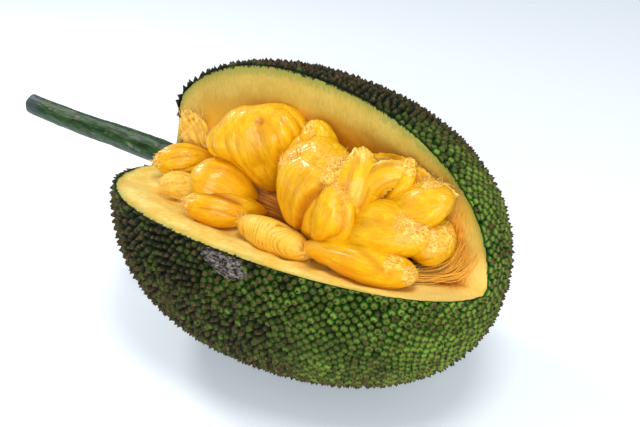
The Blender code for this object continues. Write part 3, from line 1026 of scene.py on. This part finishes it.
make_bulb("bulb_by_stem", ((-100, 5, 27), (-137, 58, 46)), (32, 28, 0, 1.2), by_stem_relief)
make_bulb("bulb_left_upper", ((-32, 50, 24), (-75, 53, 64)), (44, 30, 0, 1.35), left_upper_relief)
make_bulb("bulb_left_lower", ((-18, 68, 24), (-69, 76, 68)), (35, 30, 0, 1.3), left_lower_relief)


# %% Bulbs at the tip end
def right_large_relief(marks):
    marks.pleats(5, 0.8, twist=0.5)
    marks.seam(((0.15, 60), (0.31, 65), (0.6, 72), (0.87, 81)), 1.2, wide=13)
    marks.tear(0.94, 100, 13, 0.9)
    marks.folds(0.6, apart=12)
    marks.lumpy(1.5)


def right_lower_relief(marks):
    marks.crease *= 0.3
    marks.pleats(5, 0.7)
    marks.seam(((0.40, 135), (0.56, 107), (0.76, 67), (0.88, 45)), 0.5, wide=14)
    marks.dent(0.60, 80, -1.5, 9)
    marks.tear(0.84, 102, 9, 0.5)
    marks.tear(0.99, 60, 8, 0.8)
    marks.folds(0.8, apart=9)
    marks.lumpy(1.5)


def right_back_relief(marks):
    marks.pleats(5, 0.9, twist=0.5)
    marks.tear(0.82, 138, 10, 1.0)
    marks.folds(1.2, apart=9)
    marks.lumpy(1.5)


def far_right_relief(marks):
    marks.pleats(6, 1.0)
    marks.tear(0.84, 60, 9, 0.7)
    marks.tear(0.98, 120, 7, 0.9)
    marks.folds(1.3, apart=8)


make_bulb("bulb_right_large", ((58, 46, 24), (145, 29, 49)), (46, 38, 9, 1.2), right_large_relief, 120)
make_bulb(
    "bulb_right_lower", ((43, 77, 47), (149, 64, 48)), (31, 28, 0, 1.25), right_lower_relief, 120, blunt=0.42
)
make_bulb("bulb_right_back", ((80, 8, 24), (152, 8, 71)), (38, 30, 5, 1.35), right_back_relief)
make_bulb("bulb_far_right", ((112, 30, 26), (155, 14, 42)), (38, 32, 0, 1.35), far_right_relief)

# %% [markdown]
# ## Rags
#
# Between the bulbs lie rags, the flowers that never set fruit. They are paler and stringy. One bundle
# lies on the front cut with slanting ribs, like a bolster wound with cord.

# %% Material of the rags
rag_finish = Material("pale rag", roughness=0.42, shine=0.45)
rag_finish.glow_inside(0.2, (1.0, 0.6, 0.12), 0.004)
strings = rag_finish.noise(rag_finish.lengthwise((0.15, 1, 1)), 0.0018, detail=3, roughness=0.6)
rag_pale = rag_finish.mix(strings, srgb(236, 188, 50), srgb(252, 218, 92))
# Painted shade: creases and the grooves between the ribs are darkened.
rag_finish.paint(rag_finish.attribute("crease"), rag_pale, srgb(178, 104, 14))
rag_finish.bump(strings, 0.0009, 0.7)


# %% The ribbed bundle and the torn rags
def bundle_relief(marks):
    marks.crease *= 0.3
    slant = marks.part * 18 + np.cos(marks.angle - math.pi / 3) + 1.6 * lumps(marks.where, (11, 16, 16), 3)
    rib = np.abs(np.sin(math.pi * slant)) ** 0.5
    fade = smooth_step(marks.part, 0.02, 0.12) * (1 - smooth_step(marks.part, 0.70, 0.92))
    fade = fade * smooth_step(lumps(marks.where, 8, 9), -0.8, 0.1)
    marks.height += (rib - 0.8) * 1.3 * fade
    # Painted shade in the grooves between the ribs.
    marks.mark((1 - rib) ** 2 * fade, 1.2)
    marks.dent(0.97, 120, 4, 8)
    marks.tear(0.99, 80, 9, 1.5)
    marks.lumpy(1.2, 14)


def rag_relief(marks):
    marks.pleats(6, 1.4, twist=0.5)
    marks.folds(2.0, apart=6, long=25)
    marks.lumpy(1.8, 12)


def torn_relief(marks):
    marks.pleats(9, 1.6, twist=0.8)
    marks.folds(3.0, apart=5, long=20)
    marks.tear(0.95, 60, 14, 1.6)
    marks.lumpy(2.2, 9)


for node, line, sizes, relief, fine, blunt in (
    ("rag_bundle", ((-22, 81, 50), (54, 81, 49)), (26, 28, 0, 1.0), bundle_relief, 150, 0.36),
    ("rag_left", ((-84, 66, 25), (-112, 73, 58)), (26, 22, 0, 1.3), rag_relief, 84, 0.52),
    ("rag_torn", ((-118, -2, 25), (-136, 1, 60)), (25, 9, 0, 1.1), torn_relief, 84, 0.75),
):
    make_bulb(node, line, sizes, relief, fine, rag_finish, blunt)

# %% [markdown]
# ## Core and stem
#
# The core is a brown woody spindle along the axis, ridged where the bulbs were attached. The stem goes
# on from it, out through the dimple. Both are rings round a line, like the bulbs, with ridges along them.

# %% The core
core_finish = Material("core wood", roughness=0.65, shine=0.3)
core_fibres = core_finish.noise(core_finish.grain((0.12, 1, 1)), 0.0020, detail=4, roughness=0.65)
core_streaks = core_finish.between(core_fibres, 0.3, 0.7)
core_finish.paint(core_streaks, srgb(132, 68, 6), srgb(198, 124, 32))
core_finish.bump(core_fibres, 0.0012, 0.9)

CORE_FIRST, CORE_LAST = -0.138, 0.128
CORE_RADIUS = 0.021
CORE_SWELL = -0.22
CORE_RIDGES = 17
core_part, core_angle = crowded_ends(120), full_turn(72)
core_along = CORE_FIRST + (CORE_LAST - CORE_FIRST) * core_part
core_radius = CORE_RADIUS * np.sin(math.pi * core_part) ** 0.35 * (1 + CORE_SWELL * core_along / CORE_LAST)
core_rings = around_axis(core_along[:, None], core_angle[None], core_radius[:, None])
core = closed_skin("core_fine", core_rings, core_finish)
ridges = 0.8 * np.sin(core_angle * CORE_RIDGES + 3 * lumps(core_rings, 0.03, 21)) - 0.8
raise_skin(core, (ridges + 1.2 * lumps(core_rings, 0.008, 22)) * MM)
stands_for(core, "core")

# %% The stem
stem_finish = Material("stem bark", roughness=0.42, shine=0.22)
bark_streaks = stem_finish.noise(stem_finish.grain((0.2, 1, 1)), 0.004, detail=4, roughness=0.65)
bark_blotches = stem_finish.noise(stem_finish.grain((0.45, 1, 1)), 0.013, detail=4, roughness=0.6)
bark = stem_finish.mix(stem_finish.between(bark_streaks, 0.35, 0.7), srgb(10, 34, 8), srgb(48, 88, 26))
bark = stem_finish.mix(stem_finish.between(bark_blotches, 0.56, 0.68), bark, srgb(112, 116, 92))
stem_end = stem_finish.between(stem_finish.attribute("along"), 0.85, 0.97)
stem_finish.paint(stem_end, bark, srgb(58, 72, 74))
stem_finish.bump(stem_finish.plus(bark_streaks, bark_blotches), 0.0009, 0.7)

STEM_KNOTS = (  # along the fruit, height over its axis and radius
    (-0.1395, 0.0080, 0.0135),
    (-0.175, 0.0112, 0.0118),
    (-0.240, 0.0097, 0.0108),
    (-0.300, 0.0076, 0.0103),
    (-0.345, 0.0072, 0.0101),
    (-0.3717, 0.0080, 0.0099),
)
knots_x, knots_z, knots_radius = np.array(STEM_KNOTS).T
stem_x = np.linspace(knots_x[0], knots_x[-1], 130)
stem_z = np.interp(-stem_x, -knots_x, knots_z)
stem_z[4:-4] = np.convolve(stem_z, np.ones(9) / 9, "valid")
stem_radius = np.interp(-stem_x, -knots_x, knots_radius)
stem_angle = full_turn(56)
stem_round = np.stack([0 * stem_angle, -np.sin(stem_angle), np.cos(stem_angle)], -1)
stem_middle = FRUIT_CENTRE + np.stack([stem_x, 0 * stem_x, stem_z], -1)
stem_rings = stem_middle[:, None] + stem_round[None] * stem_radius[:, None, None]
cap = stem_rings[-1:] + (stem_middle[-1] - stem_rings[-1:]) * 0.12 - (0.0012, 0, 0)
stem_rings = np.concatenate([stem_rings, cap, cap + (stem_middle[-1] - cap) * 0.5])
stem_along = np.linspace(0, 1, len(stem_rings))[:, None]
stem = closed_skin("stem_fine", stem_rings, stem_finish, along=stem_along)
flutes = 0.25 * np.sin(stem_angle * 5 + stem_along * 2)
bumps = 0.5 * lumps(stem_rings, (0.02, 0.006, 0.006), 31) + 0.25 * lumps(stem_rings, 0.005, 32)
raise_skin(stem, (flutes + bumps - 0.2) * MM)
stands_for(stem, "stem")

# %% [markdown]
# ## Strands near the tip
#
# Where the two cuts meet at the tip, loose strands of rag cross the corner. Each is a thin tube along
# its own wavy line. The lines are plain edges, and Geometry Nodes turn them into curves and sweep a
# small circle along them, as thick as the attribute on each point says.


# %% A tree that turns lines into strands
strands = Tree("sweep lines into strands", Radius="Float", Sides="Int")
curves = strands.add("GeometryNodeMeshToCurve", {"Mesh": strands.given["Start"]})
circle = strands.add(
    "GeometryNodeCurvePrimitiveCircle",
    {"Resolution": strands.given["Sides"], "Radius": strands.given["Radius"]},
)
sweep = strands.add(
    "GeometryNodeCurveToMesh",
    {
        "Curve": curves.outputs["Curve"],
        "Profile Curve": circle.outputs["Curve"],
        "Scale": strands.named("thick"),
        "Fill Caps": True,
    },
)
strands.end(sweep.outputs["Mesh"])


def sweep_lines(name, lines, thick, radius, material, sides=6):
    """Strands along each of the lines; thick has a value for each point of a line."""
    count = lines.shape[1]
    starts = np.arange(len(lines))[:, None] * count
    edges = np.stack([starts + np.arange(count - 1), starts + np.arange(1, count)], -1).reshape(-1, 2)
    thick = np.broadcast_to(thick, lines.shape[:2]).ravel()
    made = strands.run(
        name,
        lines.reshape(-1, 3),
        edges.tolist(),
        {"thick": thick},
        Radius=radius,
        Sides=sides,
        Material=material.made,
    )
    made.data.shade_smooth()
    return made


# %% The strands in the corner at the tip
strand_finish = Material("orange strands", roughness=0.45, shine=0.45)
strand_shades = strand_finish.noise(strand_finish.place(), 0.006, detail=2)
strand_finish.paint(strand_shades, srgb(236, 150, 20), srgb(255, 208, 88))
strand_finish.glow_inside(0.2, (1.0, 0.45, 0.1), 0.004)

HALF_WEDGE = (FRONT_CUT - BACK_CUT) / 2
ACROSS_WEDGE = np.cross(OPENING, (1, 0, 0))


def corner_line(start_x, first, last, spread, seed, count=24):
    """A line from the front cut, through the corner of the wedge, up the back cut."""
    chance = np.random.default_rng(seed)
    past = np.linspace(first * chance.uniform(0.6, 1), last * chance.uniform(0.4, 1), count)
    x = start_x + 0.55 * past - 3.5 * past**2 + chance.normal(0, spread)
    over_corner = 0.006 + abs(chance.normal(0, 0.003))
    out = np.hypot(past * math.cos(HALF_WEDGE), over_corner) + 0.004 + chance.normal(0, 0.0015)
    across = np.outer(past * math.sin(HALF_WEDGE), ACROSS_WEDGE)
    line = around_axis(x, 0, 0) + np.outer(out, OPENING) + across
    wave = np.stack([lumps(line + seed, 0.02, k) for k in (41, 42, 43)], -1)
    return line + wave * 0.0026


for node, start_x, first, last, amount in (
    ("tip_rag_1", 0.147, -0.050, 0.030, 150),
    ("tip_rag_2", 0.138, -0.050, -0.006, 90),
):
    lines = np.stack([corner_line(start_x, first, last, 0.0054, seed) for seed in range(amount)])
    taper = np.sin(np.linspace(0.25, math.pi - 0.25, lines.shape[1])) ** 0.5
    thickness = taper * np.linspace(0.6, 1.5, amount)[:, None]
    bundle = sweep_lines(node + "_strands", lines, thickness, 0.00034, strand_finish)
    stands_for(bundle, node)

# %% [markdown]
# ## Torn flaps and loose fibres
#
# When a wedge is pulled out of a jackfruit, the purses in it tear off their neighbours. What stays
# behind is ragged: sheets of skin that stand up between the bulbs, and short fibres on every torn
# patch. A flap is a closed skin too, a very flat one that curls across its width and wavers along its
# free end. The fibres are rooted on the finished bulbs, and the strands tree sweeps them.


# %% Flaps
TOWARDS_TIP_FRONT = np.array((0.60, -0.67, 0.44))


def smooth_blend(count, parts):
    """How much each of so many knots pulls on the places at these parts of a smooth line."""
    last = count - 1
    return np.stack([math.comb(last, k) * parts**k * (1 - parts) ** (last - k) for k in range(count)], 1)


def make_flap(name, knots, widths, curl, thick=1.0, ragged=5.0):
    """A torn sheet along a smooth line through places round the axis, as wide in mm as given at each."""
    seed = sum(map(ord, name))
    part = np.linspace(0, 1, 60)
    blend = smooth_blend(len(knots), part)
    middle = blend @ np.array([spot(*knot) for knot in knots])
    tangent = np.gradient(middle, axis=0)
    tangent /= np.linalg.norm(tangent, axis=-1, keepdims=True)
    across = np.cross(tangent, TOWARDS_TIP_FRONT)
    across /= np.linalg.norm(across, axis=-1, keepdims=True)
    upright = np.cross(across, tangent)
    angle = full_turn(48)
    off = np.sign(np.cos(angle)) * np.abs(np.cos(angle)) ** 0.8
    half = (blend @ np.array(widths, float))[:, None] / 2
    where = np.stack(np.broadcast_arrays(part[:, None] * 40, off * half, 0 * half), -1)
    edge_place = where[:, :, :1] / (6, 1, 1) + np.sign(off)[None, :, None] * 3.7
    side = off * half * (1 + 0.16 * lumps(edge_place, 1.0, seed) * np.abs(off))
    lift = thick / 2 * np.sin(angle) + curl * half * (off**2 - 0.4)
    lift = lift + 1.4 * lumps(where, (14, 11, 11), seed + 1)
    lift = lift + np.abs(off) ** 3 * 1.8 * lumps(where, (4.5, 9, 9), seed + 2)
    reach = ragged * part[:, None] ** 4 * lumps(where[-1:], (1, 2.6, 1), seed + 3)
    moves = ((across, side), (upright, lift), (tangent, reach))
    rings = middle[:, None] + MM * sum(way[:, None] * far[..., None] for way, far in moves)
    # Painted shade along a few wandering creases of the flap.
    crease = 0.5 * np.exp(-((lumps(where, (26, 5, 1), seed + 4) / 0.12) ** 2))
    torn = np.clip(smooth_step(part[:, None], 0.75, 0.98) + smooth_step(np.abs(off), 0.75, 1.0), 0, 1)
    belongs(closed_skin(name, rings, bulb_finish, crease=crease, torn=torn, lengthwise=where * MM))


ledge = ((73, 41, 54), (86, 31, 69), (84, 17, 80), (72, 10, 90))
make_flap("centre_flap", ledge, (22, 42, 46, 8), -0.30, thick=5, ragged=3)
arch = ((84, 24, 62), (92, 18, 80), (104, 8, 82), (116, 1, 78), (128, -2, 68))
make_flap("arched_flap", arch, (26, 26, 20, 16, 7), -0.40)
ruffle = ((78, 8, 80), (88, 2, 84), (98, -2, 80), (110, -6, 78), (122, -9, 70), (134, -8, 62))
make_flap("ruffled_edge", ruffle, (8, 7, 8, 7, 6, 4), 0.5)
rim = ((118, 10, 66), (128, 6, 74), (140, 4, 76), (150, 2, 68))
make_flap("right_back_edge", rim, (8, 12, 10, 6), 0.3)

# %% Fibres
fibre_finish = Material("pale fibres", roughness=0.5, shine=0.4)
fibre_shades = fibre_finish.noise(fibre_finish.place(), 0.004, detail=2)
fibre_finish.paint(fibre_shades, srgb(238, 180, 60), srgb(255, 232, 150))


def fray(node, parts, angles, amount, length, rise, lean, radius=0.28):
    """Fibres over a patch of a bulb; rise and lean say how far they stand up and point to the crown."""
    skin, outward = grown[node]
    fine = len(skin)
    chance = np.random.default_rng(amount + int(length * 10))
    ring = np.arccos(1 - 2 * chance.uniform(*parts, amount)) / math.pi * (fine + 1) - 1
    ring = np.clip(ring.astype(int), 0, fine - 4)
    side = (chance.uniform(*angles, amount) / 360 * fine).astype(int) % fine
    root, normal = skin[ring, side], outward[ring, side]
    crownwards = skin[ring + 3, side] - root
    crownwards /= np.linalg.norm(crownwards, axis=-1, keepdims=True)
    sideways = np.cross(normal, crownwards)
    heading = rise * normal + lean * crownwards + chance.normal(0, 0.9, (amount, 1)) * sideways
    heading += chance.normal(0, 0.25, (amount, 3))
    heading /= np.linalg.norm(heading, axis=-1, keepdims=True)
    reach = length * MM * chance.uniform(0.5, 1.2, (amount, 1, 1))
    part = np.linspace(0, 1, 8)[None, :, None]
    curl = chance.normal(0, 0.45, (amount, 1, 3))
    lines = (root - normal * 0.4 * MM)[:, None] + reach * (heading[:, None] * part + curl * part**2 * 0.6)
    lines = lines + 0.12 * reach * np.sin(part * chance.uniform(4, 9, (amount, 1, 1))) * np.roll(curl, 1, -1)
    thick = (1 - 0.75 * part[0, :, 0])[None] * chance.uniform(0.7, 1.3, (amount, 1))
    belongs(sweep_lines(f"{node}_fibres_{amount}", lines, thick, radius * MM, fibre_finish, 5))


fray("bulb_centre", (0.80, 0.99), (-30, 60), 260, 7, 0.3, 0.1)
fray("bulb_centre", (0.62, 0.80), (108, 124), 56, 7, 0.8, 0.6, 0.34)
fray("bulb_right_large", (0.80, 0.97), (60, 130), 110, 6, 0.25, 0.3)
fray("bulb_right_lower", (0.93, 0.995), (20, 130), 44, 5, 0.4, 0.5)
fray("bulb_right_back", (0.70, 0.92), (110, 165), 72, 6, 0.4, 0.3)
fray("bulb_far_right", (0.66, 0.97), (30, 120), 96, 7, 0.35, 0.4)
fray("bulb_left_lower", (0.94, 0.998), (20, 170), 40, 6, 0.5, 0.5)
fray("bulb_by_stem", (0.93, 0.998), (20, 170), 34, 6, 0.5, 0.5)
fray("bulb_behind", (0.85, 0.98), (70, 150), 26, 4, 0.5, 0.4)
fray("rag_bundle", (0.02, 0.14), (70, 130), 24, 6, 0.9, -0.3, 0.2)
fray("rag_bundle", (0.965, 0.998), (20, 150), 50, 7, 0.5, 0.4)
fray("rag_left", (0.45, 0.97), (60, 190), 70, 8, 0.35, 0.4)
fray("rag_torn", (0.25, 0.98), (0, 180), 150, 11, 0.3, 0.7, 0.2)

# %% One long straight fibre at the stem end
straight = np.linspace(spot(-122, 24, 50), spot(-107, 9, 66), 6)[None]
belongs(sweep_lines("long_fibre", straight, 1, 0.00045, fibre_finish))

# %% [markdown]
# ## Scar on the rind
#
# Under the front rim the rind is scarred: a patch of grey, flaking cork grew over an old wound, and the
# spines stopped growing there. It is one more flat closed skin, laid along the rind and roughened.

# %% The scar
scar_finish = Material("grey cork", roughness=0.8, shine=0.25)
flakes = scar_finish.noise(scar_finish.place((0.7, 1, 1.6)), 0.0028, detail=5, roughness=0.72)
flaky = scar_finish.between(flakes, 0.42, 0.70)
scar_finish.paint(flaky, srgb(38, 28, 24), srgb(170, 163, 156))
scar_finish.bump(flakes, 0.0022, 1.0)
SCAR_START = -1 * MM
SCAR_LENGTH = 38 * MM
SCAR_HEIGHT = 2.2 * MM
scar_part, scar_round = crowded_ends(70), full_turn(60)
scar_width = np.sin(math.pi * scar_part) ** 0.4
scar_x = SCAR_START + SCAR_LENGTH * scar_part
scar_middle = np.radians(79.0 + 3.0 * scar_part)
scar_half = np.radians(3.4 + 1.6 * np.sin(math.pi * scar_part)) * scar_width
scar_turn = np.arccos(-np.clip(scar_x / HALF_LENGTH, -1, 1))[:, None]
scar_angle = scar_middle[:, None] + scar_half[:, None] * np.cos(scar_round)
scar_angle = np.maximum(scar_angle, FRONT_CUT + 0.004)
scar_inset = SPINE_HEIGHT - SCAR_HEIGHT * (1 + np.sin(scar_round)) * scar_width[:, None]
scar_rings = skin_point(scar_turn, scar_angle, scar_inset)
scar = closed_skin("rind_scar", scar_rings, scar_finish)
raise_skin(scar, (1.5 * lumps(scar_rings, 0.004, 61) + 1.0 * lumps(scar_rings, 0.002, 62)) * MM)
slice_at_cuts(scar)
belongs(scar)

# %% Clear the shapes that were only copied, and finish
bpy.data.objects.remove(spine)
